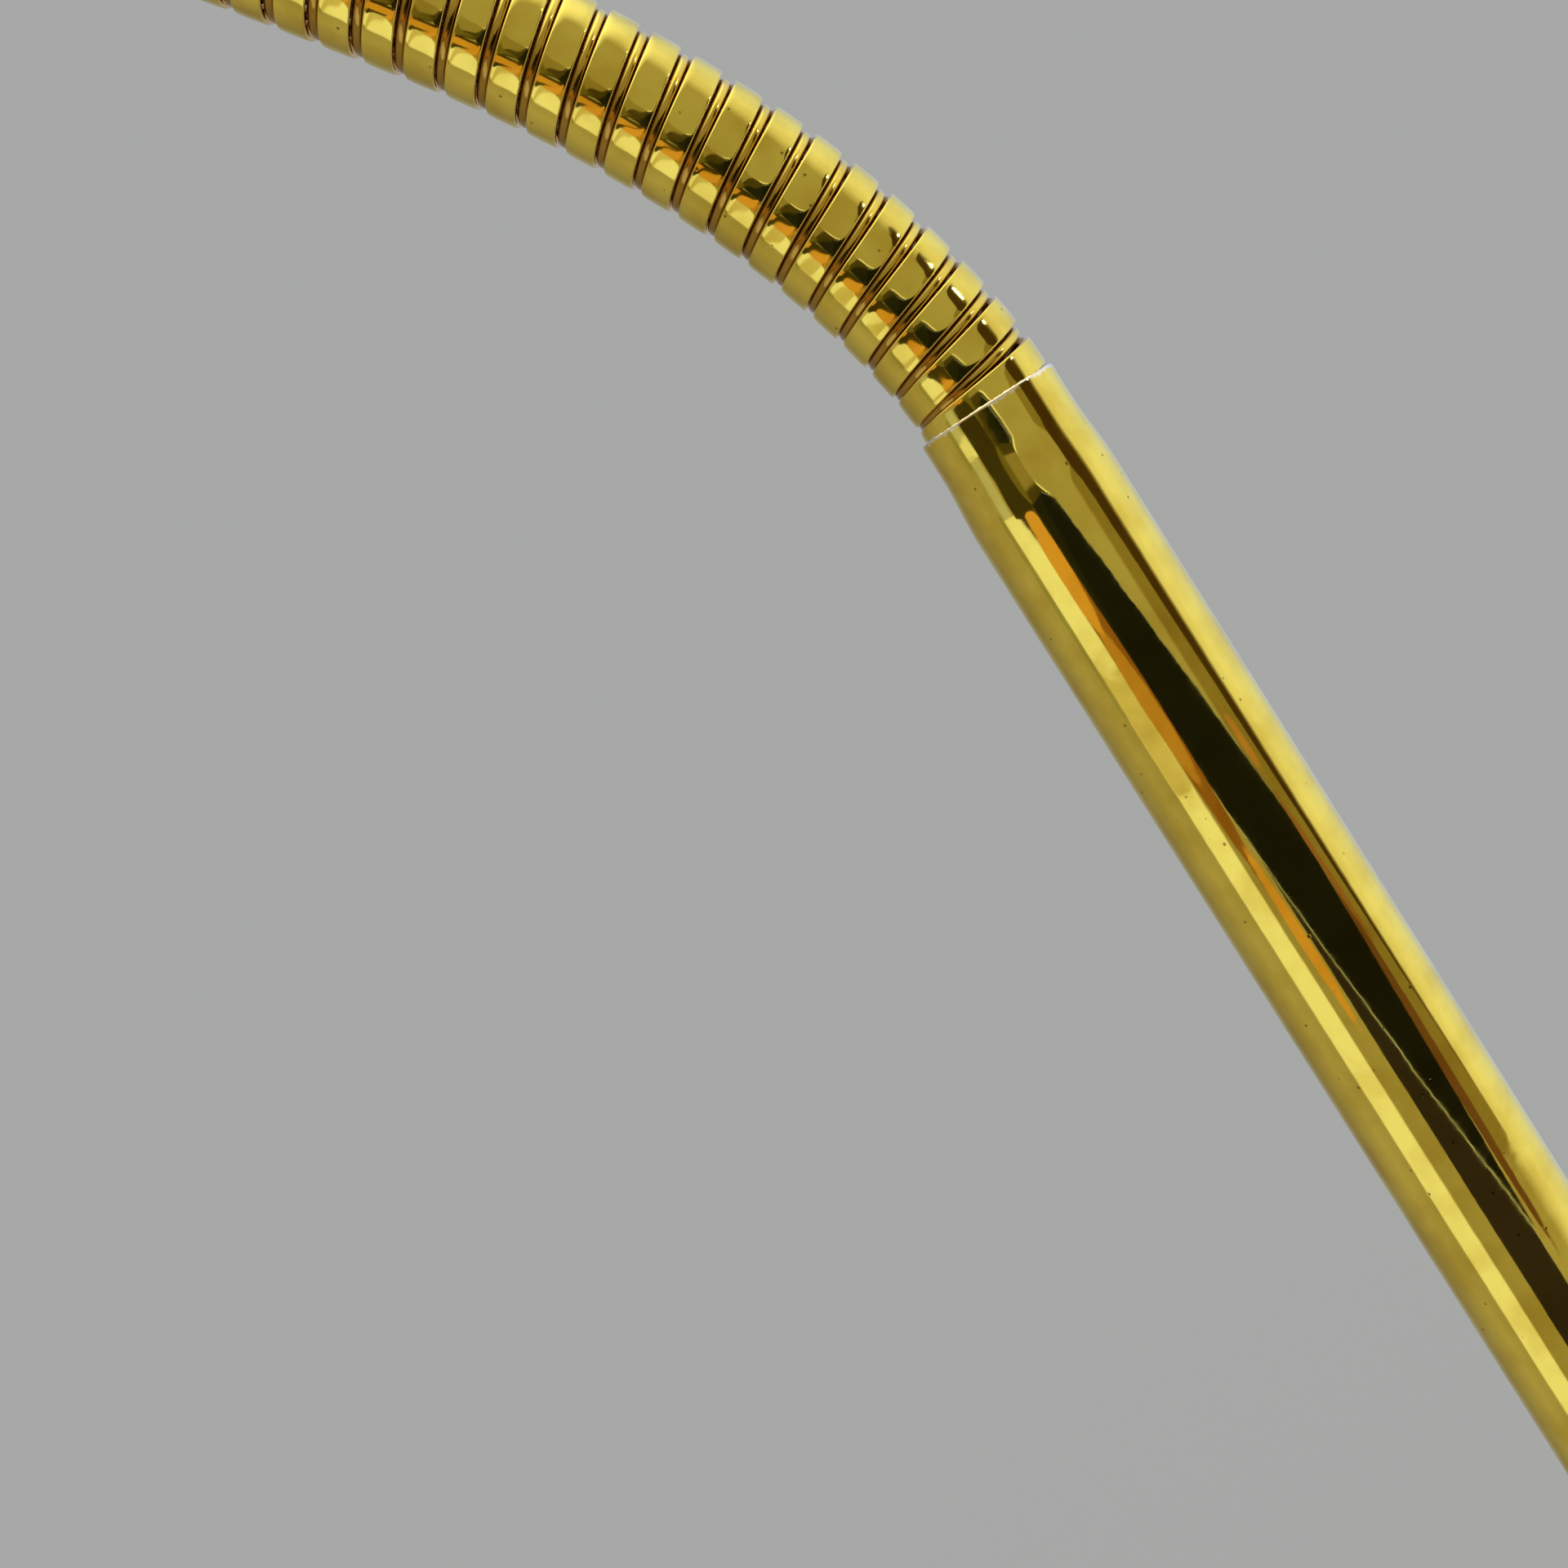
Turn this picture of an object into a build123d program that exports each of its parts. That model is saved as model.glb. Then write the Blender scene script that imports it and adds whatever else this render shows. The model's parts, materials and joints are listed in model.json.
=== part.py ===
"""Flexible gooseneck arm: a plain polished tube with a self-holding wound neck in its swaged mouth.

The neck is wound from two wires. A round spring wire is coiled with open turns, and a
wedge-shaped wire with a flat outer face is wound between those turns. Friction between the
two holds any bend. Both wires are cut here into short links, because each link turns a few
degrees on its neighbour.

Frame: origin at the mouth of the tapped hole in the foot of the stem, +Z along the stem, and
the neck leans towards -X in the XZ plane. Millimetres.
"""
import math
import os

from build123d import *

# stem
TUBE_R = 6.0                # outer radius of the straight tube
TUBE_WALL = 0.35
MOUTH_R = 5.7               # outer radius of the swaged mouth
MOUTH_BORE_R = 5.4
MOUTH_LAND = 3.0            # straight length of the mouth
SWAGE_LENGTH = 5.5          # where the tube narrows to the mouth
STEM_TOP = 160.0            # height of the mouth above the foot
MOUTH_EDGE = 0.1            # rounding of the mouth's outer edge

# foot bush, with a tapped M10 x 1 hole
BUSH_R = 7.0
BUSH_HEIGHT = 14.0
BUSH_SPIGOT = 12.0          # length of the part inside the tube
THREAD_MINOR_R = 4.5
THREAD_MAJOR_R = 5.0
BUSH_HOLE_DEPTH = 12.0
BUSH_CHAMFER = 0.8

# wound neck
PITCH = 3.29
FACE_R = 5.35               # flat outer face of the wedge wire
FACE_WIDTH = 2.3
FACE_CORNER = 0.15
LAND_DEPTH = 0.38           # straight side below the face, before the 45 degree flank
WEDGE_DEPTH = 1.15          # from the face to the wedge's narrow inner end
SPRING_WIRE_R = 0.95
SPRING_COIL_R = 4.05        # coil radius of the round wire's centre

# chain of links along the neck
LINKS = 20
TURNS_PER_LINK = 2
LINK_LENGTH = TURNS_PER_LINK * PITCH
FIRST_HINGE = 2.16          # height of the first hinge above the mouth
SEAM_AZIMUTH = 90.0         # each link's wire starts and ends on the +Y side
SEAM_GAP = 3.4              # degrees left open between two links' wires
# the bend at rest: (turns, degrees) from the mouth outwards, as tangent arcs
BEND_ARCS = [(2, 10.8), (6, 14.7), (7, 10.6), (12, 4.5), (14, 5.6)]

# root of the neck inside the tube
ROOT_TURNS = 3
PLUG_SPIGOT_R = 3.0
PLUG_DISC = 3.0             # thickness of the plug's disc below the neck
PLUG_SPIGOT = 8.0
FIT_GAP = 0.02              # radial gap between parts that are pressed together

# tip fittings, in the last link's own frame
SKIRT_START = 5.0           # the ferrule's mouth, over the last link's second turn
SKIRT_LENGTH = 3.8
SKIRT_R = 6.0
SKIRT_BORE_R = 5.4
COLLAR_R = 7.0
COLLAR_HEIGHT = 6.0
COLLAR_FLATS = 12.0         # across the two wrench flats
COLLAR_CHAMFER = 0.6
TIP_DISC = 1.0              # thickness of the tip plug's disc
TIP_SPIGOT = 4.2
STUD_IN = 5.0               # length screwed into the collar
STUD_OUT = 14.0
STUD_CHAMFER = 0.7
RELIEF_R = 4.4              # groove above the lock nut, where the free end's thread runs out
RELIEF_WIDTH = 0.8
WASHER_R = 8.0
WASHER_THICKNESS = 0.8
WASHER_TEETH = 12
TOOTH_NOTCH_R = 0.7
NUT_FLATS = 14.0
NUT_HEIGHT = 3.0
NUT_CHAMFER = 0.5
COLLAR_SEAT = SKIRT_START + SKIRT_LENGTH
COLLAR_TOP = COLLAR_SEAT + COLLAR_HEIGHT


def save(part, node):
    """Write one node, under the name that people use for it."""
    part.label = node
    export_step(part, os.path.join("parts", node + ".step"))


def bend_at(turn):
    """Bend from the stem's axis, in degrees, after this many turns of the neck."""
    total = 0.0
    for turns, degrees in BEND_ARCS:
        used = min(max(turn, 0.0), turns)
        total += degrees * used / turns
        turn -= turns
    return total


def link_places():
    """Each link's location, one straight chord of the neck after another."""
    places = []
    x = 0.0
    z = STEM_TOP + FIRST_HINGE
    for link in range(LINKS):
        bend = bend_at(FIRST_HINGE / PITCH + TURNS_PER_LINK * (link + 0.5))
        places.append(Location((x, 0, z), (0, -bend, 0)))
        x -= LINK_LENGTH * math.sin(math.radians(bend))
        z += LINK_LENGTH * math.cos(math.radians(bend))
    return places


def disc(radius, bottom, height):
    """A plain cylinder on the Z axis that stands on the height given as bottom."""
    standing = (Align.CENTER, Align.CENTER, Align.MIN)
    return Pos(0, 0, bottom) * Cylinder(radius, height, align=standing)


def turned(outline):
    """The solid of revolution about Z of an outline drawn in the XZ plane."""
    return revolve(outline, axis=Axis.Z)


def coil(profile, coil_r, first_turn, last_turn, gap=0.0):
    """Sweep a radial section along a right-hand helix, from one turn number to another.

    Turn 0 is at height 0 on the seam's azimuth. gap is the angle left open, in degrees,
    half of it at each end.
    """
    turns = last_turn - first_turn - gap / 360
    start = first_turn + gap / 720
    path = Helix(pitch=PITCH, height=turns * PITCH, radius=coil_r)
    section = Plane.XZ * profile
    swept = sweep(section, path=path, is_frenet=True)
    azimuth = SEAM_AZIMUTH + 360 * start
    return Pos(0, 0, start * PITCH) * Rot(0, 0, azimuth) * swept


def wedge_section():
    """The wedge wire's section: flat face outside, 45 degree flanks, narrow end inside."""
    half = FACE_WIDTH / 2
    land = FACE_R - LAND_DEPTH
    inner = FACE_R - WEDGE_DEPTH
    tip = half - (land - inner)
    outline = Polyline(
        (inner, -tip),
        (land, -half),
        (FACE_R, -half),
        (FACE_R, half),
        (land, half),
        (inner, tip),
        close=True,
    )
    face = make_face(outline)
    corners = [v for v in face.vertices() if abs(v.X - FACE_R) < 1e-6]
    return fillet(corners, FACE_CORNER)


def wedge_coil(first_turn, last_turn, gap=0.0):
    return coil(wedge_section(), FACE_R - WEDGE_DEPTH / 2, first_turn, last_turn, gap)


def spring_coil(first_turn, last_turn):
    """The round wire's turns, which lie half a pitch above the wedge wire's."""
    section = Pos(SPRING_COIL_R, 0) * Circle(SPRING_WIRE_R)
    turns = coil(section, SPRING_COIL_R, first_turn, last_turn)
    return Pos(0, 0, PITCH / 2) * turns


def make_stem_tube():
    """Drawn tube whose upper end is swaged down on to the neck."""
    land = STEM_TOP - MOUTH_LAND
    swage = land - SWAGE_LENGTH
    middle = (land + swage) / 2
    bore = TUBE_R - TUBE_WALL
    outside_waist = ((TUBE_R + MOUTH_R) / 2, middle)
    inside_waist = ((bore + MOUTH_BORE_R) / 2, middle)
    outer_low = TangentArc((TUBE_R, swage), outside_waist, tangent=(0, 1))
    outer_high = TangentArc((MOUTH_R, land), outside_waist, tangent=(0, -1))
    inner_low = TangentArc((bore, swage), inside_waist, tangent=(0, 1))
    inner_high = TangentArc((MOUTH_BORE_R, land), inside_waist, tangent=(0, -1))
    edge = (MOUTH_R - MOUTH_EDGE, STEM_TOP)
    rounding = TangentArc((MOUTH_R, STEM_TOP - MOUTH_EDGE), edge, tangent=(0, 1))
    outline = [
        Line((bore, BUSH_HEIGHT), (TUBE_R, BUSH_HEIGHT)),
        Line((TUBE_R, BUSH_HEIGHT), (TUBE_R, swage)),
        outer_low,
        outer_high,
        Line((MOUTH_R, land), (MOUTH_R, STEM_TOP - MOUTH_EDGE)),
        rounding,
        Line(edge, (MOUTH_BORE_R, STEM_TOP)),
        Line((MOUTH_BORE_R, STEM_TOP), (MOUTH_BORE_R, land)),
        inner_high,
        inner_low,
        Line((bore, swage), (bore, BUSH_HEIGHT)),
    ]
    return turned(Plane.XZ * make_face(outline))


def make_stem_base_bush():
    """Turned foot: a shoulder under the tube, a spigot inside it and the tapped hole."""
    spigot_r = TUBE_R - TUBE_WALL - FIT_GAP
    shoulder = disc(BUSH_R, 0, BUSH_HEIGHT)
    shoulder = chamfer(shoulder.edges().filter_by(GeomType.CIRCLE), BUSH_CHAMFER)
    bush = shoulder + disc(spigot_r, BUSH_HEIGHT, BUSH_SPIGOT)
    return bush - disc(THREAD_MINOR_R, 0, BUSH_HOLE_DEPTH)


def make_neck_root_plug():
    """Plug under the neck inside the tube, with a spigot up the round wire's coil."""
    root = STEM_TOP + FIRST_HINGE - (ROOT_TURNS + 0.5) * PITCH
    seat = root - PLUG_DISC
    plug = disc(TUBE_R - TUBE_WALL - FIT_GAP, seat, PLUG_DISC)
    return plug + disc(PLUG_SPIGOT_R, root, PLUG_SPIGOT)


def make_neck_tip_plug():
    """Plug in the ferrule's bore, with a spigot down the round wire's coil."""
    seat = COLLAR_SEAT - TIP_DISC
    plug = disc(SKIRT_BORE_R - FIT_GAP, seat, TIP_DISC)
    return plug + disc(PLUG_SPIGOT_R, seat - TIP_SPIGOT, TIP_SPIGOT)


def make_tip_ferrule():
    """Skirt over the neck's last turn, and a collar with two wrench flats and a tapped hole."""
    collar = disc(COLLAR_R, COLLAR_SEAT, COLLAR_HEIGHT)
    collar = chamfer(collar.edges().filter_by(GeomType.CIRCLE), COLLAR_CHAMFER)
    middle = COLLAR_SEAT + COLLAR_HEIGHT / 2
    collar = collar & (Pos(0, 0, middle) * Box(2 * COLLAR_R, COLLAR_FLATS, COLLAR_HEIGHT))
    ferrule = collar + disc(SKIRT_R, SKIRT_START, SKIRT_LENGTH)
    ferrule -= disc(SKIRT_BORE_R, SKIRT_START, SKIRT_LENGTH)
    return ferrule - disc(THREAD_MAJOR_R + FIT_GAP, COLLAR_TOP - STUD_IN, STUD_IN)


def make_tip_stud():
    """Solid stud with chamfered ends and a relief groove, plain at its major diameter."""
    stud = disc(THREAD_MAJOR_R, COLLAR_TOP - STUD_IN, STUD_IN + STUD_OUT)
    stud = chamfer(stud.edges().filter_by(GeomType.CIRCLE), STUD_CHAMFER)
    relief = COLLAR_TOP + WASHER_THICKNESS + NUT_HEIGHT
    ring = disc(2 * THREAD_MAJOR_R, relief, RELIEF_WIDTH) - disc(RELIEF_R, relief, RELIEF_WIDTH)
    return stud - ring


def make_tip_tooth_washer():
    """Toothed lock washer: a ring with notches round its rim."""
    washer = disc(WASHER_R, COLLAR_TOP, WASHER_THICKNESS)
    washer -= disc(THREAD_MAJOR_R + FIT_GAP, COLLAR_TOP, WASHER_THICKNESS)
    notch = Pos(WASHER_R, 0, 0) * disc(TOOTH_NOTCH_R, COLLAR_TOP, WASHER_THICKNESS)
    for tooth in range(WASHER_TEETH):
        washer -= Rot(0, 0, 360 * tooth / WASHER_TEETH) * notch
    return washer


def make_tip_lock_nut():
    """Thin hexagon nut with chamfered corners."""
    seat = COLLAR_TOP + WASHER_THICKNESS
    hexagon = RegularPolygon(NUT_FLATS / 2, 6, major_radius=False)
    nut = Pos(0, 0, seat) * extrude(hexagon, NUT_HEIGHT)
    round_off = disc(NUT_FLATS / 2 + NUT_CHAMFER, seat, NUT_HEIGHT)
    round_off = chamfer(round_off.edges().filter_by(GeomType.CIRCLE), NUT_CHAMFER)
    nut = nut & round_off
    return nut - disc(THREAD_MAJOR_R + FIT_GAP, seat, NUT_HEIGHT)


def main():
    os.makedirs("parts", exist_ok=True)
    first_hinge = Pos(0, 0, STEM_TOP + FIRST_HINGE)
    save(make_stem_tube(), "stem_tube")
    save(make_stem_base_bush(), "stem_base_bush")
    save(make_neck_root_plug(), "neck_root_plug")
    save(first_hinge * wedge_coil(-ROOT_TURNS, 0, SEAM_GAP), "neck_root_wrap")
    save(first_hinge * spring_coil(-ROOT_TURNS, -1), "neck_root_spring")

    places = link_places()
    wrap = wedge_coil(0, TURNS_PER_LINK, SEAM_GAP)
    spring = spring_coil(0, 1)
    for link, place in enumerate(places, start=1):
        save(place * wrap, f"neck_wrap_{link:02d}")
        save(place * spring, f"neck_spring_{link:02d}")

    tip = places[-1]
    save(tip * make_neck_tip_plug(), "neck_tip_plug")
    save(tip * make_tip_ferrule(), "tip_ferrule")
    save(tip * make_tip_stud(), "tip_stud")
    save(tip * make_tip_tooth_washer(), "tip_tooth_washer")
    save(tip * make_tip_lock_nut(), "tip_lock_nut")


main()
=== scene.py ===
"""Looks for the gooseneck arm: both neck wires as true helices, the swaged tube and the studio.

Lengths are written in millimetres and scaled to metres where a mesh is made.
"""
import json
import math
import random

import bpy
import numpy as np
from mathutils import Matrix, Vector


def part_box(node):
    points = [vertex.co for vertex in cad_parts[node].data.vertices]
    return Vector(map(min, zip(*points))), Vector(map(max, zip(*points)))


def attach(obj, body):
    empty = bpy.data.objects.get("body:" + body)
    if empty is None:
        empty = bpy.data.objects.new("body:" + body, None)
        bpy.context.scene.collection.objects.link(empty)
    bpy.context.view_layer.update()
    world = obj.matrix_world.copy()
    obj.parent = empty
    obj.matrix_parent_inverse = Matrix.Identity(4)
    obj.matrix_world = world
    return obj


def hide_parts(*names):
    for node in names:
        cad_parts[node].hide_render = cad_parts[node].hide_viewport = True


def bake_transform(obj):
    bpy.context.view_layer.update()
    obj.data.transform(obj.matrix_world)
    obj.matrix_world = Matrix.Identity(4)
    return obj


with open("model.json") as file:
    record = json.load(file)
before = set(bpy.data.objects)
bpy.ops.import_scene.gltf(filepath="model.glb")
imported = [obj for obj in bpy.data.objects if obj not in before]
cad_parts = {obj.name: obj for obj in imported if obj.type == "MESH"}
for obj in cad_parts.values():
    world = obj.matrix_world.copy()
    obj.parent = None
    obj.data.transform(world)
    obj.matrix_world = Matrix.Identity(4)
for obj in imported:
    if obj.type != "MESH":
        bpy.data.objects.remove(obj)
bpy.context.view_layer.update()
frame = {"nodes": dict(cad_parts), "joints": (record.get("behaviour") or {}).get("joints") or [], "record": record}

MM = 0.001
HINGES = [j for j in frame["joints"] if j["type"] == "hinge"]
MOUNTS = {m["name"]: m for m in frame["record"]["mounts"]}

# stem, as in the CAD
TUBE_R = 6.0
TUBE_WALL = 0.35
MOUTH_R = 5.7
MOUTH_BORE_R = 5.43
MOUTH_LAND = 3.0
SWAGE_LENGTH = 5.5
STEM_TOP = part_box("stem_tube")[1].z / MM
STEM_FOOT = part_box("stem_tube")[0].z / MM
TUBE_SEGMENTS = 360
TUBE_CREASE = 40            # degrees
EDGE_DEPTH = 0.12           # how far down the mouth's edge is uneven
EDGE_WEAR = 0.05            # how much of it is gone on average, and how much that varies
EDGE_WAVE = 0.14
HIGHLIGHT_DEPTH = 0.36           # how far down the painted highlight reaches from the edge, how much that varies, and its edge
HIGHLIGHT_WAVE = 0.5
HIGHLIGHT_FADE = 0.05

# neck
LINKS = len(HINGES)
TURNS_PER_LINK = 2
FACE_R = 5.35
FACE_WIDTH = 2.37
LAND_DEPTH = 0.32
WEDGE_DEPTH = 1.15
FLANK_SLOPE = 1.2
CORNER_R = 0.17
CROWN = 0.010               # even rounding of the face across its width
ROLL_OFF = 0.058            # rounding that only shows near the face's edges
SPRING_WIRE_R = 0.56
SPRING_COIL_R = 4.46
SPRING_SWELL = 0.06         # how far the tightest bend pushes the spring out on its inner side
CROWN_SHADE = 0.85           # how much painted shade covers the spring's crown there, where the closed groove shades it
SWELL_CURL = math.radians(4)    # bend per turn at which the spring stands out fully
LEAST_SWELL = 0.3
DRIFTS = ((0.008, 0.83, 1), (0.005, 2.2, 0.5))      # size in turns, waves a turn, phase
ROOT_TURNS = 3
SEAM_AZIMUTH = 90.0
WRAP_STEPS = 112            # mesh steps in a turn
SPRING_STEPS = 80
SPRING_SIDES = 20
CORNER_STEPS = 6
FACE_STEPS = 28

# shares of painted shade across the sections: where it starts below the face, and over what depth
SHADE_START = 0.05
SHADE_RISE = 0.08
CROWN_UNSHADED = 0.34          # share of the spring's crown that the painted shade leaves unshaded
CROWN_RISE = 0.30


# ---------------------------------------------------------------- centreline

def hinge_points():
    """The hinges' places in millimetres, with one point more at each end of the chain."""
    points = [np.array(j["pos_m"]) / MM for j in HINGES]
    link = np.linalg.norm(points[1] - points[0])
    tip_axis = np.array(MOUNTS["tip_stud_end"]["axis"])
    points.append(points[-1] + tip_axis * link)
    points.append(points[-1] + tip_axis * link)
    below = [points[0] - np.array([0, 0, link * (n + 1)]) for n in range(3)]
    return np.array(below[::-1] + points), link


POINTS, LINK_LENGTH = hinge_points()
FIRST = 3                   # index of the first hinge in POINTS
PITCH = LINK_LENGTH / TURNS_PER_LINK


def centre(turn):
    """Centreline point and unit tangent at each turn number, counted from the first hinge."""
    s = np.asarray(turn, float) / TURNS_PER_LINK + FIRST
    i = np.clip(np.floor(s).astype(int), 1, len(POINTS) - 3)
    t = (s - i)[:, None]
    a, b = POINTS[i], POINTS[i + 1]
    ta, tb = (POINTS[i + 1] - POINTS[i - 1]) / 2, (POINTS[i + 2] - POINTS[i]) / 2
    place = (
        a * (2 * t**3 - 3 * t**2 + 1)
        + ta * (t**3 - 2 * t**2 + t)
        + b * (3 * t**2 - 2 * t**3)
        + tb * (t**3 - t**2)
    )
    along = (
        a * (6 * t**2 - 6 * t)
        + ta * (3 * t**2 - 4 * t + 1)
        + b * (6 * t - 6 * t**2)
        + tb * (3 * t**2 - 2 * t)
    )
    return place, along / np.linalg.norm(along, axis=1)[:, None]


def lean_of(turn):
    """Lean of the centreline towards -X in radians."""
    along = centre(turn)[1]
    return np.arctan2(-along[:, 0], along[:, 2])


def wander(turn):
    """The coils are not laid quite evenly: a slow drift along the neck, in turns."""
    return sum(size * np.sin(2 * math.pi * waves * turn + phase) for size, waves, phase in DRIFTS)


def bulge(turn, azimuth):
    """How far the spring stands out where the bend has closed the groove over it."""
    curl = lean_of(turn + 0.5) - lean_of(turn - 0.5)
    inner = np.clip(-np.cos(azimuth), 0, 1) ** 2
    return SPRING_SWELL * np.clip(curl / SWELL_CURL, LEAST_SWELL, 1) * inner


# ------------------------------------------------------------------- meshes

def new_object(name, verts, faces, normals, material, slot, painted_light):
    """A mesh object from points in millimetres, with one normal for each face corner.

    The last argument says, point by point, how much painted light is mixed into the metal's colour: painted shade
    in the grooves, a painted highlight on the tube's edge.
    """
    mesh = bpy.data.meshes.new(name)
    mesh.from_pydata((np.asarray(verts) * MM).tolist(), [], faces)
    mesh.update()
    mesh.shade_smooth()
    mesh.normals_split_custom_set([tuple(n) for n in normals])
    mesh.materials.append(material)
    mesh.attributes.new("painted_light", "FLOAT", "POINT").data.foreach_set("value", painted_light)
    piece = bpy.data.objects.new(name, mesh)
    bpy.context.scene.collection.objects.link(piece)
    return piece


def strip_mesh(rings, ring_normals):
    """Quads between rings of points, and flat caps on both ends: points, faces and normals."""
    count, around = rings.shape[:2]
    verts = rings.reshape(-1, 3)
    flat = ring_normals.reshape(-1, 3)
    faces, normals = [], []
    for i in range(count - 1):
        low, high = i * around, (i + 1) * around
        for j in range(around):
            k = (j + 1) % around
            face = (low + j, low + k, high + k, high + j)
            faces.append(face)
            normals.extend(flat[v] for v in face)
    for ring, order in ((0, -1), (count - 1, 1)):
        face = [ring * around + j for j in range(around)][::order]
        a, b, c = (verts[face[n * around // 3]] for n in range(3))
        flat_normal = np.cross(b - a, c - a)
        flat_normal /= np.linalg.norm(flat_normal)
        faces.append(tuple(face))
        normals.extend([flat_normal] * around)
    return verts, faces, normals


def helix_rings(profile, slopes, first, last, steps_per_turn, lift=0.0, swell=None):
    """Rings of a section carried along the helix from turn first to turn last.

    profile holds (radius, height) pairs and slopes their unit tangents. lift raises the
    whole coil by that many turns. swell is a function of azimuth that moves it outwards.
    """
    steps = max(2, round((last - first) * steps_per_turn))
    turn = np.linspace(first, last, steps + 1)

    def ring(at):
        place, along = centre(at + lift + wander(at))
        lean = np.arctan2(-along[:, 0], along[:, 2])
        azimuth = np.radians(SEAM_AZIMUTH + 360 * at)
        side = np.stack([np.cos(lean), 0 * lean, np.sin(lean)], 1)
        out = np.cos(azimuth)[:, None] * side + np.sin(azimuth)[:, None] * np.array([0, 1.0, 0])
        grow = swell(at + lift, azimuth) if swell else 0 * azimuth
        radius = profile[None, :, 0] + grow[:, None]
        points = place[:, None] + out[:, None] * radius[:, :, None]
        points = points + along[:, None] * profile[None, :, 1, None]
        slope = out[:, None] * slopes[None, :, 0, None] + along[:, None] * slopes[None, :, 1, None]
        return points, slope

    points, slope = ring(turn)
    small = 1e-3
    onward = ring(turn + small)[0] - ring(turn - small)[0]
    normals = np.cross(slope, onward)
    normals /= np.linalg.norm(normals, axis=2)[:, :, None]
    return points, normals


# ------------------------------------------------------------------- wires

def wedge_profile():
    """Section of the wedge wire, anticlockwise from the lower inner corner, and its tangents."""
    half = FACE_WIDTH / 2
    land = FACE_R - LAND_DEPTH
    inner = FACE_R - WEDGE_DEPTH
    tip = half - FLANK_SLOPE * (land - inner)

    def face(height):
        share = abs(height) / half
        drop = CROWN * share**2 + ROLL_OFF * share**5
        fall = (2 * CROWN * share + 5 * ROLL_OFF * share**4) / half
        return FACE_R - drop, math.copysign(math.atan(fall), height)

    edge = half - 0.83 * CORNER_R
    low, lean = face(-edge)
    bevel = 0.05
    points = [(inner, -tip), (land - bevel, -half + bevel), (land, -half)]
    turns = [None, None, -math.pi / 2]
    centre_r = low - CORNER_R * math.cos(lean)
    centre_h = -edge - CORNER_R * math.sin(lean)
    for n in range(CORNER_STEPS):
        turn = -math.pi / 2 + (lean + math.pi / 2) * n / CORNER_STEPS
        points.append((centre_r + CORNER_R * math.cos(turn), centre_h + CORNER_R * math.sin(turn)))
        turns.append(turn)
    middle = FACE_STEPS // 2
    for n in range(middle + 1):
        # closer together towards the edge, where the face rolls off
        height = -edge * math.cos(math.pi * n / FACE_STEPS) ** 0.8 if n < middle else 0.0
        radius, turn = face(height)
        points.append((radius, height))
        turns.append(turn)
    outline = np.array(points)
    outline = np.vstack([outline, outline[:-1][::-1] * [1, -1]])
    turns = turns + [None if t is None else -t for t in turns[:-1][::-1]]
    ahead = np.roll(outline, -1, 0) - outline
    ahead /= np.linalg.norm(ahead, axis=1)[:, None]
    slope = ahead + np.roll(ahead, 1, 0)
    slope /= np.linalg.norm(slope, axis=1)[:, None]
    for n, turn in enumerate(turns):
        if turn is not None:
            slope[n] = (-math.sin(turn), math.cos(turn))
    return outline, slope


def round_profile(radius, wire_r, count):
    """Section of the round wire and its tangents."""
    angle = np.arange(count) * 2 * math.pi / count
    points = np.stack([radius + wire_r * np.cos(angle), wire_r * np.sin(angle)], 1)
    slopes = np.stack([-np.sin(angle), np.cos(angle)], 1)
    return points, slopes


def weight_ends(place, along, weight):
    """Two far points that give everything near place the same blend weight.

    The blend eases in and out, so the share of the way at which it has this weight is searched.
    """
    span = 2.0                  # metres
    steps = 2000
    shares = (n / steps for n in range(steps + 1))
    share = next(t for t in shares if t**2 * (3 - 2 * t) >= weight)
    start = Vector(place * MM) - Vector(along) * span * share
    return start, start + Vector(along) * span


def bend_with(piece, link, weight=None):
    """Finds where a piece's bend with the hinge below link would start and end, over one share or smoothly over
    two turns, and bakes the piece's transform; nothing here bends it.
    """
    place, along = centre([TURNS_PER_LINK * (link - 1)])
    if weight is None:
        reach = Vector(along[0]) * PITCH * MM
        middle = Vector(place[0] * MM)
        start, end = middle - reach, middle + reach
    else:
        start, end = weight_ends(place[0], along[0], weight)
    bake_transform(piece)
    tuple(start)
    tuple(end)


def body_name(link):
    return f"link_{link:02d}" if link > 0 else "stem"


def sways(link):
    return abs(HINGES[link - 1]["axis"][1]) < 0.5


def bends(link):
    """Whether the wires bend across this hinge; elsewhere they are cut on its axis and ride.

    The tight bend above the mouth, below the first sway hinge, and the sway hinges bend.
    """
    return link <= LINKS and (sways(link) or not any(sways(n) for n in range(1, link)))


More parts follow.
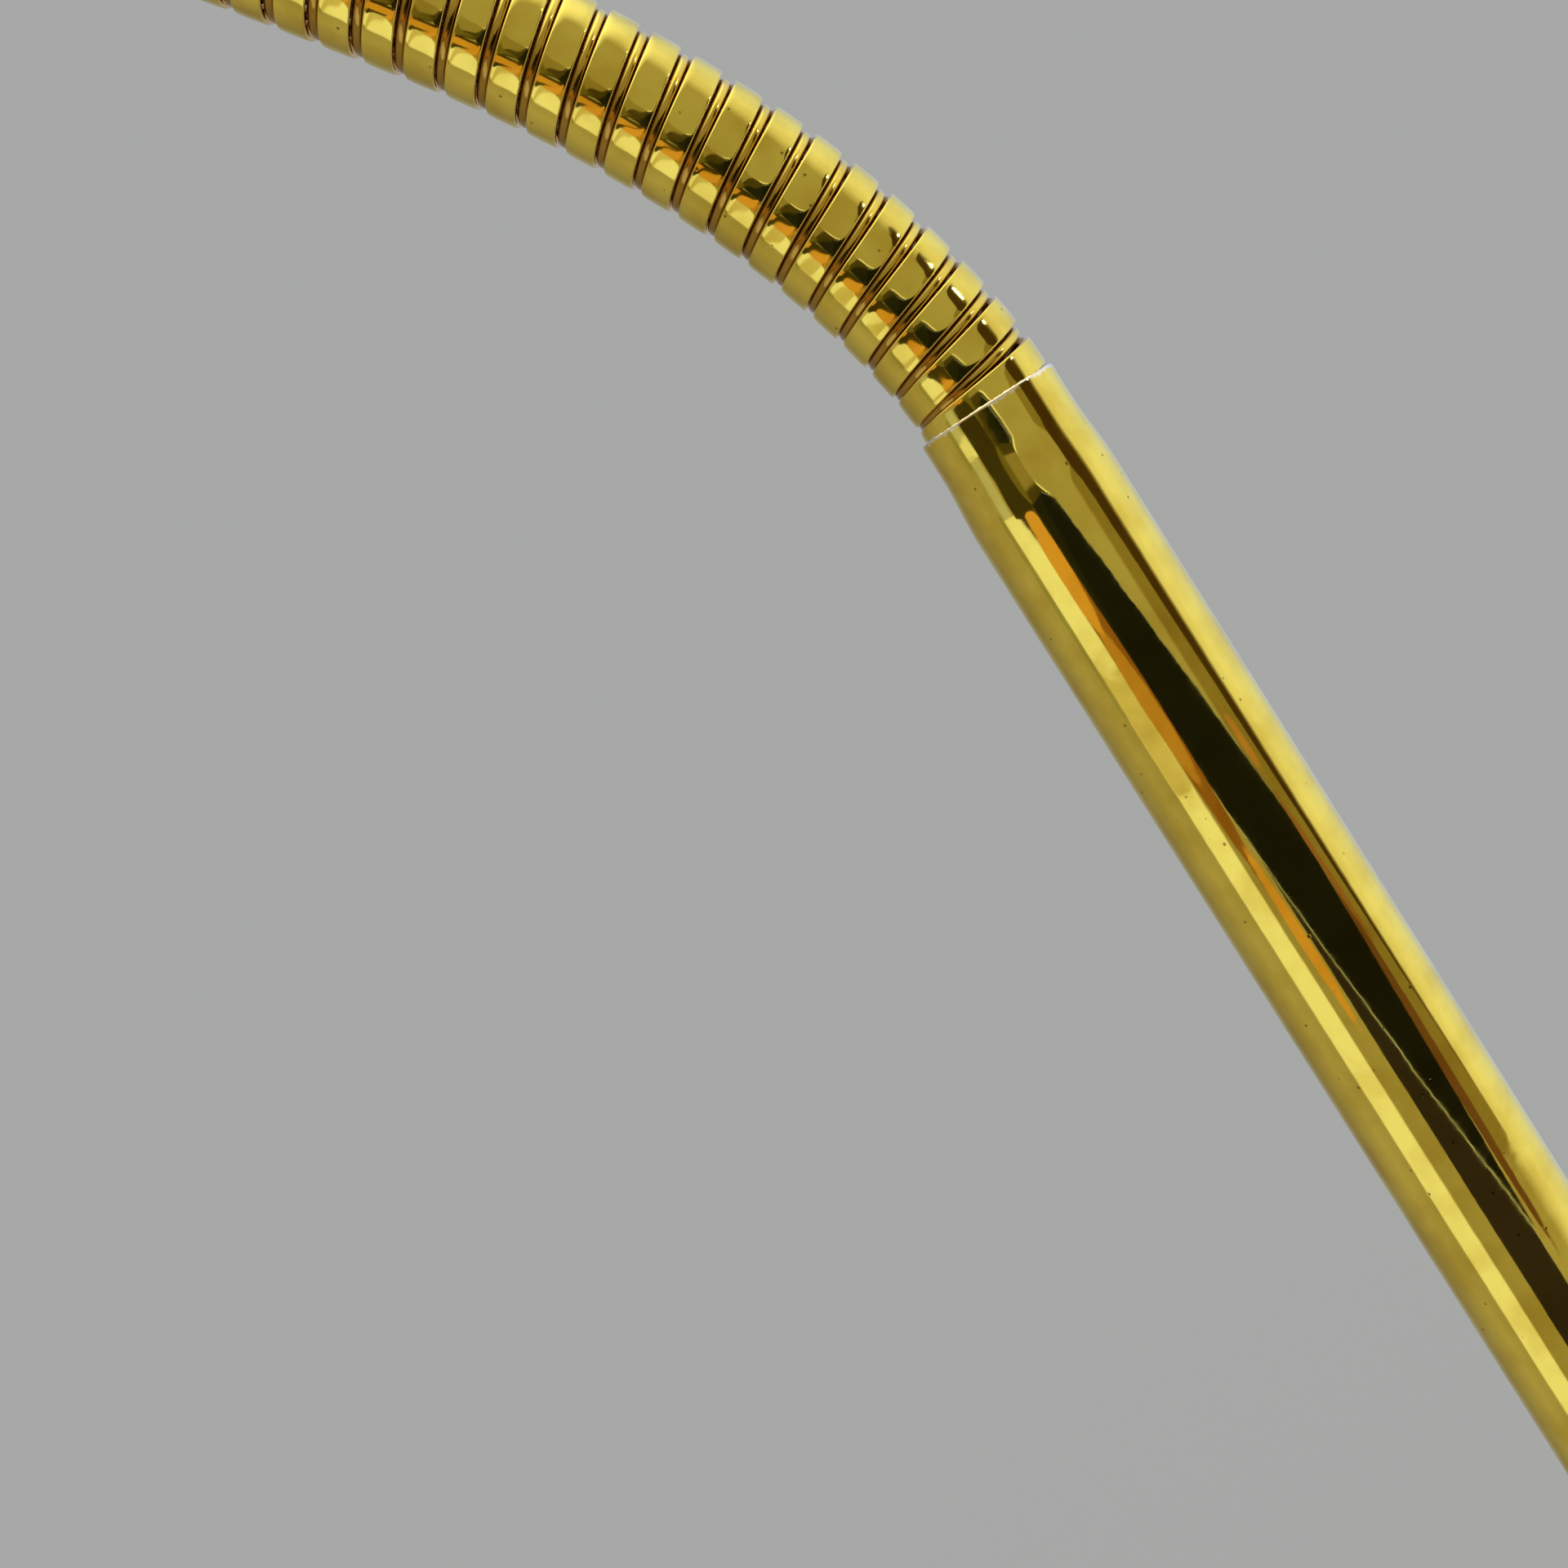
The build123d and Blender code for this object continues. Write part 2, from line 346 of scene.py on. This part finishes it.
def make_wires(wrap_material, spring_material):
    """Both wires in pieces that ride on a link or bend across its hinge."""
    section, slopes = wedge_profile()
    wire, wire_slopes = round_profile(SPRING_COIL_R, SPRING_WIRE_R, SPRING_SIDES)

    # painted shade thickens down the flanks of both wires, where the grooves are shaded, and leaves the face and
    # the crown unshaded
    deep = np.clip((FACE_R - SHADE_START - section[:, 0]) / SHADE_RISE, 0, 1)
    side = np.clip((np.abs(wire[:, 1]) / SPRING_WIRE_R - CROWN_UNSHADED) / CROWN_RISE, 0, 1)
    side = np.where(wire[:, 0] < SPRING_COIL_R, 1, side)

    def wrap(name, first, last):
        rings = helix_rings(section, slopes, first, last, WRAP_STEPS)
        painted_light_share = np.tile(deep, len(rings[0]))
        return new_object(name, *strip_mesh(*rings), wrap_material, "neck_wrap_brass", painted_light_share)

    def spring(name, first, last):
        rings = helix_rings(wire, wire_slopes, first, last, SPRING_STEPS, lift=0.5, swell=bulge)
        azimuth = np.radians(SEAM_AZIMUTH + 360 * np.linspace(first, last, len(rings[0])))
        # painted shade on the spring's inner side, where the closed groove over it is shaded
        inner = CROWN_SHADE * np.clip(0.5 - np.cos(azimuth), 0, 1)
        painted_light_share = np.maximum(side[None, :], inner[:, None]).ravel()
        return new_object(name, *strip_mesh(*rings), spring_material, "neck_spring_brass", painted_light_share)

    # the root in the tube
    root = wrap("wrap_root", -ROOT_TURNS, -1)
    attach(root, "stem")
    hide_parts("neck_root_wrap")
    root = spring("spring_root", -ROOT_TURNS, -1)
    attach(root, "stem")
    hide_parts("neck_root_spring")
    for link in range(1, LINKS + 1):
        at = TURNS_PER_LINK * (link - 1)
        first, last = (at + 1 if bends(link) else at), (at + 1 if bends(link + 1) else at + 2)
        piece = None
        if first < last:
            piece = wrap(f"wrap_{link:02d}", first, last)
            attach(piece, body_name(link))
        if sways(link):
            piece = wrap(f"wrap_{link:02d}_bend", at - 1, at + 1)
            bend_with(piece, link)
        elif bends(link):
            bend_with(wrap(f"wrap_{link:02d}_low", at - 1, at), link, 0.25)
            piece = wrap(f"wrap_{link:02d}_high", at, at + 1)
            bend_with(piece, link, 0.75)
        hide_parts(f"neck_wrap_{link:02d}")
        # the spring is cut half a turn from the wedge wire, at the other end of the hinge axis
        first, last = (at if bends(link) else at - 0.5), (at + 1 if bends(link + 1) else at + 1.5)
        piece = spring(f"spring_{link:02d}", first, min(last, TURNS_PER_LINK * LINKS - 1))
        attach(piece, body_name(link))
        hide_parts(f"neck_spring_{link:02d}")
        if bends(link):
            bend_with(spring(f"spring_{link:02d}_bend", at - 1, at), link, 0.5)


# ------------------------------------------------------------------- lathe

def lathe(name, outline, smooth_limit, segments, material, slot, wobble, painted_light_share):
    """Turns an (r, z) outline about Z. Corners sharper than smooth_limit degrees stay crisp.

    wobble shifts a point, and the other function says how much painted light it gets, both by height and angle.
    """
    outline = np.array(outline, float)
    ahead = np.roll(outline, -1, 0) - outline
    ahead /= np.linalg.norm(ahead, axis=1)[:, None]
    before = np.roll(ahead, 1, 0)
    crisp = (ahead * before).sum(1) < math.cos(math.radians(smooth_limit))
    shared = ahead + before
    shared /= np.linalg.norm(shared, axis=1)[:, None]
    start = np.where(crisp[:, None], ahead, shared)
    finish = np.where(crisp[:, None], before, shared)
    angle = np.arange(segments) * 2 * math.pi / segments
    spin = np.stack([np.cos(angle), np.sin(angle)], 1)
    count = len(outline)
    verts, faces, normals = [], [], []
    for s in range(segments):
        for n, (r, z) in enumerate(outline):
            r, z = wobble(r, z, angle[s])
            verts.append((r * spin[s, 0], r * spin[s, 1], z))
    for s in range(segments):
        t = (s + 1) % segments
        for n in range(count):
            m = (n + 1) % count
            corners = ((s, n, start[n]), (t, n, start[n]), (t, m, finish[m]), (s, m, finish[m]))
            faces.append(tuple(c[0] * count + c[1] for c in corners))
            for ring, _, slope in corners:
                out, up = slope[1], -slope[0]
                normals.append((out * spin[ring, 0], out * spin[ring, 1], up))
    cover = [painted_light_share(z, angle[s]) for s in range(segments) for _, z in outline]
    return new_object(name, verts, faces, normals, material, slot, cover)


def ease(share):
    return share * share * (3 - 2 * share)


def make_tube(material):
    """The drawn tube with its swaged mouth; the outline runs up the outside and down the bore."""
    land = STEM_TOP - MOUTH_LAND
    swage = land - SWAGE_LENGTH
    bore = TUBE_R - TUBE_WALL
    outline = []
    barrel_steps, swage_steps, rim_steps, bore_steps = 40, 24, 6, 8
    for n in range(barrel_steps):
        outline.append((TUBE_R, STEM_FOOT + (swage - STEM_FOOT) * n / barrel_steps))
    for n in range(swage_steps + 1):
        share = n / swage_steps
        outline.append((TUBE_R + (MOUTH_R - TUBE_R) * ease(share), swage + SWAGE_LENGTH * share))
    # rows close together, because the painted highlight's edge falls between them
    for drop in (1.5, 0.6, 0.5, 0.42, 0.34):
        outline.append((MOUTH_R, STEM_TOP - drop))
    rim = 0.25
    for n in range(rim_steps + 1):
        turn = math.radians(90 * n / rim_steps)
        out, up = rim * math.cos(turn), rim * math.sin(turn)
        outline.append((MOUTH_R - rim + out, STEM_TOP - rim + up))
    break_edge = 0.04
    outline.append((MOUTH_BORE_R + break_edge, STEM_TOP))
    outline.append((MOUTH_BORE_R, STEM_TOP - break_edge))
    outline.append((MOUTH_BORE_R, land))
    for n in range(1, bore_steps + 1):
        share = 1 - n / bore_steps
        outline.append((bore + (MOUTH_BORE_R - bore) * ease(share), swage + SWAGE_LENGTH * share))
    outline.append((bore, STEM_FOOT))
    dents = random.Random(7)
    waves = [
        (k, dents.uniform(0, 6.28), dents.uniform(0.3, 1.0))
        for k in (2, 3, 5, 9, 16, 29, 47, 83)
    ]

    def wave(angle):
        return sum(size * math.sin(k * angle + phase) for k, phase, size in waves) / len(waves)

    def worn(r, z, angle):
        """The mouth's edge is slightly uneven, as a filed edge is."""
        if z < STEM_TOP - EDGE_DEPTH:
            return r, z
        return r, min(z, z - EDGE_WEAR + EDGE_WAVE * wave(angle))

    def edge_highlight(z, angle):
        """Where the edge is painted near-white: a painted highlight."""
        return min(1, max(0, (z - STEM_TOP + HIGHLIGHT_DEPTH + HIGHLIGHT_WAVE * wave(angle + 1)) / HIGHLIGHT_FADE))

    # the mouth's edge gets a painted highlight
    tube = lathe("tube", outline, TUBE_CREASE, TUBE_SEGMENTS, material, "tube_brass", worn, edge_highlight)
    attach(tube, "stem")
    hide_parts("stem_tube")


# --------------------------------------------------------------- materials

YELLOW = (0.93, 0.79, 0.16)
YELLOW_DULL = (0.80, 0.64, 0.11)
# painted shade for the wedge wire's flanks in the grooves
FLANK_PAINTED_SHADE = (0.62, 0.40, 0.10)
# painted shade for the spring's sides and inner side in the grooves
GROOVE_PAINTED_SHADE = (0.40, 0.23, 0.05)
# painted highlight colour along the tube's mouth edge
EDGE_PAINTED_HIGHLIGHT = (1.0, 0.96, 0.86)
SPECK = (0.30, 0.20, 0.05)
BLACK = (0, 0, 0)
WHITE = (1, 1, 1)


def material_nodes(name):
    material = bpy.data.materials.new(name)
    material.use_nodes = True
    tree = material.node_tree
    return material, tree, tree.nodes["Principled BSDF"]


def noise(tree, source, scale, detail):
    node = tree.nodes.new("ShaderNodeTexNoise")
    node.inputs["Scale"].default_value = scale
    node.inputs["Detail"].default_value = detail
    tree.links.new(source, node.inputs["Vector"])
    return node.outputs["Fac"]


def ramp(tree, source, stops):
    node = tree.nodes.new("ShaderNodeValToRGB")
    elements = node.color_ramp.elements
    while len(elements) < len(stops):
        elements.new(0.5)
    for element, (place, colour) in zip(elements, stops):
        element.position = place
        element.color = (*colour, 1)
    tree.links.new(source, node.inputs["Fac"])
    return node.outputs["Color"]


def mixed(tree, factor, a, b):
    """A mix from a to b; either may be a colour or an output."""
    node = tree.nodes.new("ShaderNodeMix")
    node.data_type = "RGBA"
    tree.links.new(factor, node.inputs["Factor"])
    for key, value in (("A", a), ("B", b)):
        if isinstance(value, tuple):
            node.inputs[key].default_value = (*value, 1)
        else:
            tree.links.new(value, node.inputs[key])
    return node.outputs["Result"]


def bumped(tree, height, distance, under=None):
    """A bump of this height in millimetres, over another one if given."""
    node = tree.nodes.new("ShaderNodeBump")
    node.inputs["Strength"].default_value = 1.0
    node.inputs["Distance"].default_value = distance * MM
    tree.links.new(height, node.inputs["Height"])
    if under:
        tree.links.new(under, node.inputs["Normal"])
    return node.outputs["Normal"]


def brass(name, colour, dull, roughness, wave, pits=0.004, painted_light_colour=GROOVE_PAINTED_SHADE):
    """Polished lacquered brass: mottled tone, uneven gloss, slow waves, specks, and painted light mixed in where
    the mesh asks for it: painted shade in the grooves, a painted highlight on the tube's edge.

    wave and pits are heights in millimetres.
    """
    material, tree, shader = material_nodes(name)
    shader.inputs["Metallic"].default_value = 1.0
    place = tree.nodes.new("ShaderNodeTexCoord").outputs["Object"]
    mottle = noise(tree, place, scale=260, detail=5)
    tone = ramp(tree, mottle, [(0.34, dull), (0.58, colour)])
    # specks: small dark pits scattered unevenly
    speck = tree.nodes.new("ShaderNodeTexVoronoi")
    speck.inputs["Scale"].default_value = 520
    tree.links.new(place, speck.inputs["Vector"])
    clean = ramp(tree, speck.outputs["Distance"], [(0.035, BLACK), (0.085, WHITE)])
    spotted = mixed(tree, clean, SPECK, tone)
    # painted light: the mesh's attribute mixes in painted shade for the grooves and a painted highlight for the
    # tube's edge
    painted_light_share = tree.nodes.new("ShaderNodeAttribute")
    painted_light_share.attribute_name = "painted_light"
    with_painted_light = mixed(tree, painted_light_share.outputs["Fac"], spotted, painted_light_colour)
    tree.links.new(with_painted_light, shader.inputs["Base Color"])
    gloss = noise(tree, place, scale=700, detail=3)
    rough = ramp(tree, gloss, [(0.3, (roughness * 0.6,) * 3), (0.75, (roughness * 1.5,) * 3)])
    tree.links.new(rough, shader.inputs["Roughness"])
    short = bumped(tree, noise(tree, place, scale=330, detail=2), wave)
    long = bumped(tree, noise(tree, place, scale=110, detail=1), wave * 3, short)
    pit = bumped(tree, clean, pits, long)
    tree.links.new(pit, shader.inputs["Normal"])
    return material


def plain_metal(name, colour, roughness):
    """A lightly mottled metal for the parts that the photograph doesn't show."""
    material, tree, shader = material_nodes(name)
    shader.inputs["Metallic"].default_value = 1.0
    place = tree.nodes.new("ShaderNodeTexCoord").outputs["Object"]
    mottle = noise(tree, place, scale=900, detail=4)
    tone = ramp(tree, mottle, [(0.3, [c * 0.85 for c in colour]), (0.7, colour)])
    tree.links.new(tone, shader.inputs["Base Color"])
    shader.inputs["Roughness"].default_value = roughness
    return material


# ------------------------------------------------------------------- stage

def glow_material(name, colour, strength=1.0, soft=0.0):
    """A light-giving material for what only reflections see.

    soft is the share of its width over which it fades in at each side.
    """
    material = bpy.data.materials.new(name)
    material.use_nodes = True
    tree = material.node_tree
    tree.nodes.clear()
    glow = tree.nodes.new("ShaderNodeEmission")
    glow.inputs["Color"].default_value = (*colour, 1)
    glow.inputs["Strength"].default_value = strength
    out = tree.nodes.new("ShaderNodeOutputMaterial")
    if not soft:
        tree.links.new(glow.outputs["Emission"], out.inputs["Surface"])
        return material
    across = tree.nodes.new("ShaderNodeSeparateXYZ")
    place = tree.nodes.new("ShaderNodeTexCoord").outputs["Generated"]
    tree.links.new(place, across.inputs["Vector"])
    fades = [(0, BLACK), (soft, WHITE), (1 - soft, WHITE), (1, BLACK)]
    solid = ramp(tree, across.outputs["X"], fades)
    fade = tree.nodes.new("ShaderNodeMixShader")
    tree.links.new(solid, fade.inputs["Fac"])
    tree.links.new(tree.nodes.new("ShaderNodeBsdfTransparent").outputs["BSDF"], fade.inputs[1])
    tree.links.new(glow.outputs["Emission"], fade.inputs[2])
    tree.links.new(fade.outputs["Shader"], out.inputs["Surface"])
    return material


def reflected_only(piece, material):
    """Puts a stage piece in the scene for reflections alone."""
    bpy.context.scene.collection.objects.link(piece)
    piece.data.materials.append(material)
    piece.visible_camera = False
    piece.visible_diffuse = False
    piece.visible_shadow = False


def card(name, corners, colour, strength=1.0, soft=0.0):
    """A flat card with its corners in millimetres."""
    mesh = bpy.data.meshes.new(name)
    points = [tuple(c * MM for c in corner) for corner in corners]
    mesh.from_pydata(points, [], [tuple(range(len(points)))])
    reflected_only(bpy.data.objects.new(name, mesh), glow_material(name, colour, strength, soft))


def toward(azimuth, elevation, distance):
    """A point this far off on the level, seen from the neck's mouth; azimuth from -Y towards +X."""
    a, e = math.radians(azimuth), math.radians(elevation)
    return (distance * math.sin(a), -distance * math.cos(a), STEM_TOP + distance * math.tan(e))


def sky_card(name, distance, azimuths, elevations, colour, strength=1.0, soft=0.0):
    """A card between two azimuths and two elevations, seen from the neck's mouth."""
    (a, b), (low, high) = azimuths, elevations
    corners = [toward(a, low, distance), toward(b, low, distance)]
    corners += [toward(b, high, distance), toward(a, high, distance)]
    card(name, corners, colour, strength, soft)


def blob(name, place, size, tilt, colour, strength):
    """A rounded form for a finger or a fist, tilted in the XZ plane."""
    bpy.ops.mesh.primitive_uv_sphere_add(segments=24, ring_count=12, radius=1)
    piece = bpy.context.object
    piece.name = name
    piece.data.transform(Matrix.Diagonal((*[s * MM for s in size], 1)))
    piece.data.transform(Matrix.Rotation(math.radians(tilt), 4, "Y"))
    piece.data.transform(Matrix.Translation([c * MM for c in place]))
    bpy.context.collection.objects.unlink(piece)
    reflected_only(piece, glow_material(name, colour, strength))


SLAB_Y = -183.0
SLAB = [(-124, 96), (85, 9), (168, 74), (-41, 165)]     # its corners' X and Z
SKIN = (0.80, 0.40, 0.09)
LIGHT = (1.0, 0.98, 0.92)


def flat_card(name, y, corners, colour, strength=1.0, soft=0.0):
    """A card square to the Y axis, with its corners as (x, z)."""
    card(name, [(x, y, z) for x, z in corners], colour, strength, soft)


def slab_edge(name, a, b, width, colour):
    """A thin bright edge along the handheld slab, from one corner to another."""
    (ax, az), (bx, bz) = a, b
    length = math.hypot(bx - ax, bz - az)
    nx, nz = -(bz - az) / length * width / 2, (bx - ax) / length * width / 2
    corners = [(ax - nx, az - nz), (bx - nx, bz - nz), (bx + nx, bz + nz), (ax + nx, az + nz)]
    flat_card(name, SLAB_Y + 1, corners, colour)


def make_cards():
    """What the brass reflects: a dark handheld slab, hands, a window and darker gaps."""
    flat_card("slab", SLAB_Y, SLAB, (0.010, 0.010, 0.007))
    slab_edge("slab_low_edge", SLAB[0], SLAB[1], 2.0, (0.55, 0.55, 0.6))
    slab_edge("slab_high_edge", SLAB[2], SLAB[3], 1.2, (0.35, 0.35, 0.35))
    # whoever holds it: darker behind and below
    figure = [(-150, -160), (120, -160), (120, 60), (0, 110), (-150, 80)]
    flat_card("figure", -300, figure, (0.030, 0.022, 0.020))
    blob("finger_a", (-112, -110, 139), (42, 5, 12), -5, SKIN, 0.85)
    blob("finger_b", (-110, -110, 116), (42, 5, 12), -3, SKIN, 0.6)
    blob("finger_c", (-82, -110, 83), (21, 5, 13), -3, SKIN, 0.8)
    blob("palm_left", (-108, -116, 120), (42, 3, 32), 0, (0.42, 0.17, 0.035), 0.6)
    blob("finger_d", (165, -180, 92), (30, 12, 6), 8, (0.75, 0.36, 0.12), 0.6)
    blob("finger_e", (185, -180, 62), (34, 14, 10), 30, (0.45, 0.20, 0.08), 0.6)
    blob("palm_right", (160, -195, 25), (46, 14, 30), -30, (0.25, 0.11, 0.05), 0.6)
    # behind the slab: a dark corner, olive and brown shadow, the wrist, and a thin bright line
    behind = SLAB_Y - 2
    grip = [(-126, 96), (-38, 166), (-14, 158), (-120, 155)]
    flat_card("grip", behind, grip, (0.016, 0.016, 0.008))
    olive = [(-250, 151), (-122, 153), (-14, 157), (-45, 177), (-250, 177)]
    flat_card("olive_shadow", behind - 12, olive, (0.065, 0.048, 0.011))
    brown = [(-250, 177), (-45, 177), (-53, 198), (-66, 240), (-250, 225)]
    flat_card("brown_shadow", behind - 12, brown, (0.29, 0.23, 0.10))
    wrist = [(-143, 183), (-80, 183), (-84, 205), (-150, 208)]
    flat_card("wrist", -75, wrist, (0.50, 0.24, 0.045), soft=0.15)
    stripe = [(-196, 160), (-112, 160), (-104, 225), (-196, 215)]
    flat_card("olive_stripe", behind - 11.5, stripe, (0.15, 0.12, 0.03), soft=0.25)
    line = [(-16, 156), (-11, 158), (-40, 178), (-43, 175)]
    flat_card("gleam", behind - 10, line, (1.0, 0.96, 0.85))
    line = [(-43, 175), (-40, 178), (-47, 194), (-50, 192)]
    flat_card("gleam_high", behind - 10, line, (0.40, 0.36, 0.24))
    # window on the left with its sill, and the dark shape beside it
    sky_card("window", 350, (-84, -52), (-58, 0), LIGHT, 0.9, 0.08)
    sky_card("window_high", 350, (-83, -65), (0, 9), LIGHT, 0.5, 0.2)
    sky_card("sill", 345, (-84, -52), (-14, -9), (0.62, 0.53, 0.34), 1.0, 0.1)
    sky_card("plant", 340, (-90, -80.5), (-11, 2), (0.30, 0.28, 0.15), 1.0, 0.3)
    dark = [(-236, 152), (-165, 146), (-62, 138), (-76, 158), (-112, 192), (-236, 186)]
    flat_card("dark_shape", -114, dark, (0.045, 0.034, 0.008), soft=0.1)
    # the back of the hand, close enough that only the upper turns see it in front of that shape
    back = [
        (-52, 171), (-57, 180), (-65, 189), (-77, 198), (-102, 206),
        (-124, 209), (-113, 200), (-92, 188), (-82, 178), (-68, 171),
    ]
    flat_card("hand_back", -60, back, (0.62, 0.31, 0.06), soft=0.05)
    # the shaded figure on the right, with a bright edge and a small lamp beyond it
    outline = [(32, -24), (68, -24), (70, 15), (60, 14), (52, 12), (44, 5), (36, 2), (31, -2)]
    card("shade", [toward(a, e, 700) for a, e in outline], (0.25, 0.19, 0.07), 1.0, 0.12)
    outline = [(46, -24), (68, -24), (70, 18), (61, 17.5), (51, 15), (45, 9), (41, -2)]
    card("figure_right", [toward(a, e, 698) for a, e in outline], (0.06, 0.032, 0.007), 1.0, 0.2)
    sky_card("lamp", 680, (63, 66), (9.5, 13), LIGHT, 45.0)


CAMERA_PLACE = (-41.2, -177.8, 156.8)
CAMERA_AHEAD = (0.0738, 0.9949, -0.0690)
CAMERA_UP = (0.5447, 0.0178, 0.8384)
CAMERA_VIEW = 36            # field of view in degrees
CAMERA_SENSOR = 36          # millimetres


def make_camera():
    """Camera at the photograph's viewing angle: near the mouth's height, and rolled."""
    place = Vector(CAMERA_PLACE) * MM
    ahead = Vector(CAMERA_AHEAD).normalized()
    right = ahead.cross(Vector(CAMERA_UP)).normalized()
    up = right.cross(ahead)
    turn = Matrix((right, up, -ahead)).transposed()
    data = bpy.data.cameras.new("camera")
    data.sensor_width = CAMERA_SENSOR
    data.lens = CAMERA_SENSOR / 2 / math.tan(math.radians(CAMERA_VIEW / 2))
    data.clip_start = 0.01
    camera = bpy.data.objects.new("camera", data)
    camera.matrix_world = Matrix.Translation(place) @ turn.to_4x4()
    bpy.context.scene.collection.objects.link(camera)
    bpy.context.scene.camera = camera


BACKDROP = (0.385, 0.392, 0.385)
CEILING = (1.7, 1.6, 1.4)
CEILING_START = 0.55        # sine of the elevation at which the ceiling begins, and is full
CEILING_FULL = 0.85
SOFT_LIGHT = 0.5            # the even light that falls on everything
# the room's colour at azimuths from -Y towards +X, in degrees
ROOM = [
    (-180, (0.36, 0.37, 0.42)),
    (-150, (0.26, 0.225, 0.175)),
    (-105, (0.42, 0.36, 0.25)),
    (-86, (0.38, 0.33, 0.22)),
    (-50, (0.34, 0.28, 0.15)),
    (0, (0.39, 0.335, 0.19)),
    (52, (0.41, 0.35, 0.20)),
    (68, (0.78, 0.72, 0.58)),
    (85, (0.90, 0.87, 0.78)),
    (115, (0.80, 0.82, 0.90)),
    (140, (0.58, 0.64, 0.85)),
    (180, (0.42, 0.44, 0.52)),
]


def make_world():
    """Even grey for the camera, soft light, and a room of light and dark for reflections."""
    world = bpy.data.worlds.new("world")
    bpy.context.scene.world = world
    world.use_nodes = True
    tree = world.node_tree
    nodes, link = tree.nodes, tree.links.new
    even = nodes["Background"]
    even.inputs["Color"].default_value = (*BACKDROP, 1)
    soft = nodes.new("ShaderNodeBackground")
    soft.inputs["Color"].default_value = (SOFT_LIGHT, SOFT_LIGHT, SOFT_LIGHT, 1)
    room = nodes.new("ShaderNodeBackground")
    way = nodes.new("ShaderNodeTexCoord").outputs["Generated"]
    split = nodes.new("ShaderNodeSeparateXYZ")
    link(way, split.inputs["Vector"])
    front = nodes.new("ShaderNodeMath")
    front.operation = "MULTIPLY"
    front.inputs[1].default_value = -1
    link(split.outputs["Y"], front.inputs[0])
    turn = nodes.new("ShaderNodeMath")
    turn.operation = "ARCTAN2"
    link(split.outputs["X"], turn.inputs[0])
    link(front.outputs[0], turn.inputs[1])
    share = nodes.new("ShaderNodeMapRange")
    share.inputs["From Min"].default_value = -math.pi
    share.inputs["From Max"].default_value = math.pi
    link(turn.outputs[0], share.inputs["Value"])
    around = ramp(tree, share.outputs["Result"], [((a + 180) / 360, c) for a, c in ROOM])
    high = ramp(tree, split.outputs["Z"], [(CEILING_START, BLACK), (CEILING_FULL, WHITE)])
    link(mixed(tree, high, around, CEILING), room.inputs["Color"])
    path = nodes.new("ShaderNodeLightPath")
    glossy = nodes.new("ShaderNodeMixShader")
    link(path.outputs["Is Glossy Ray"], glossy.inputs["Fac"])
    link(soft.outputs[0], glossy.inputs[1])
    link(room.outputs[0], glossy.inputs[2])
    seen = nodes.new("ShaderNodeMixShader")
    link(path.outputs["Is Camera Ray"], seen.inputs["Fac"])
    link(glossy.outputs[0], seen.inputs[1])
    link(even.outputs[0], seen.inputs[2])
    link(seen.outputs[0], nodes["World Output"].inputs["Surface"])


def make_floor():
    """A plain pale floor under the foot, wide enough to have no edge in view."""
    radius, gap = 6, 0.0003     # metres
    bpy.ops.mesh.primitive_circle_add(
        vertices=96, radius=radius, fill_type="NGON", location=(0, 0, -gap),
    )
    floor = bpy.context.object
    floor.name = "floor"
    material, _, shader = material_nodes("floor")
    shader.inputs["Base Color"].default_value = (*[c / SOFT_LIGHT for c in BACKDROP], 1)
    shader.inputs["Roughness"].default_value = 1.0
    shader.inputs["Specular IOR Level"].default_value = 0.0
    floor.data.materials.append(material)
    floor.visible_glossy = False


def dress_cad_nodes(looks):
    """Gives the CAD nodes that are carried over the material of their slot."""
    slots = {s["node"]: s["material_slot"] for s in frame["record"]["subparts"]}
    for name, node in frame["nodes"].items():
        look = looks.get(slots[name])
        if look:
            node.data.materials.clear()
            node.data.materials.append(look)


def main():
    # painted light colours: painted shade for the wedge wire's flanks and the spring, a painted highlight for the
    # tube's edge
    wrap = brass("neck_wrap_brass", YELLOW, YELLOW_DULL, 0.07, wave=0.01, painted_light_colour=FLANK_PAINTED_SHADE)
    wire = brass("neck_spring_brass", (0.92, 0.74, 0.15), (0.80, 0.62, 0.10), 0.12, wave=0.01)
    tube = brass("tube_brass", YELLOW, YELLOW_DULL, 0.06, wave=0.012, painted_light_colour=EDGE_PAINTED_HIGHLIGHT)
    fitting = brass("fitting_brass", (0.90, 0.74, 0.20), (0.80, 0.62, 0.15), 0.14, wave=0.01)
    plug = plain_metal("plug_brass", (0.72, 0.55, 0.24), roughness=0.3)
    steel = plain_metal("washer_steel", (0.62, 0.61, 0.58), roughness=0.28)
    make_wires(wrap, wire)
    make_tube(tube)
    dress_cad_nodes({"fitting_brass": fitting, "plug_brass": plug, "washer_steel": steel})
    make_world()
    make_floor()
    make_cards()
    make_camera()
    bpy.context.scene.view_settings.view_transform = "Standard"


main()
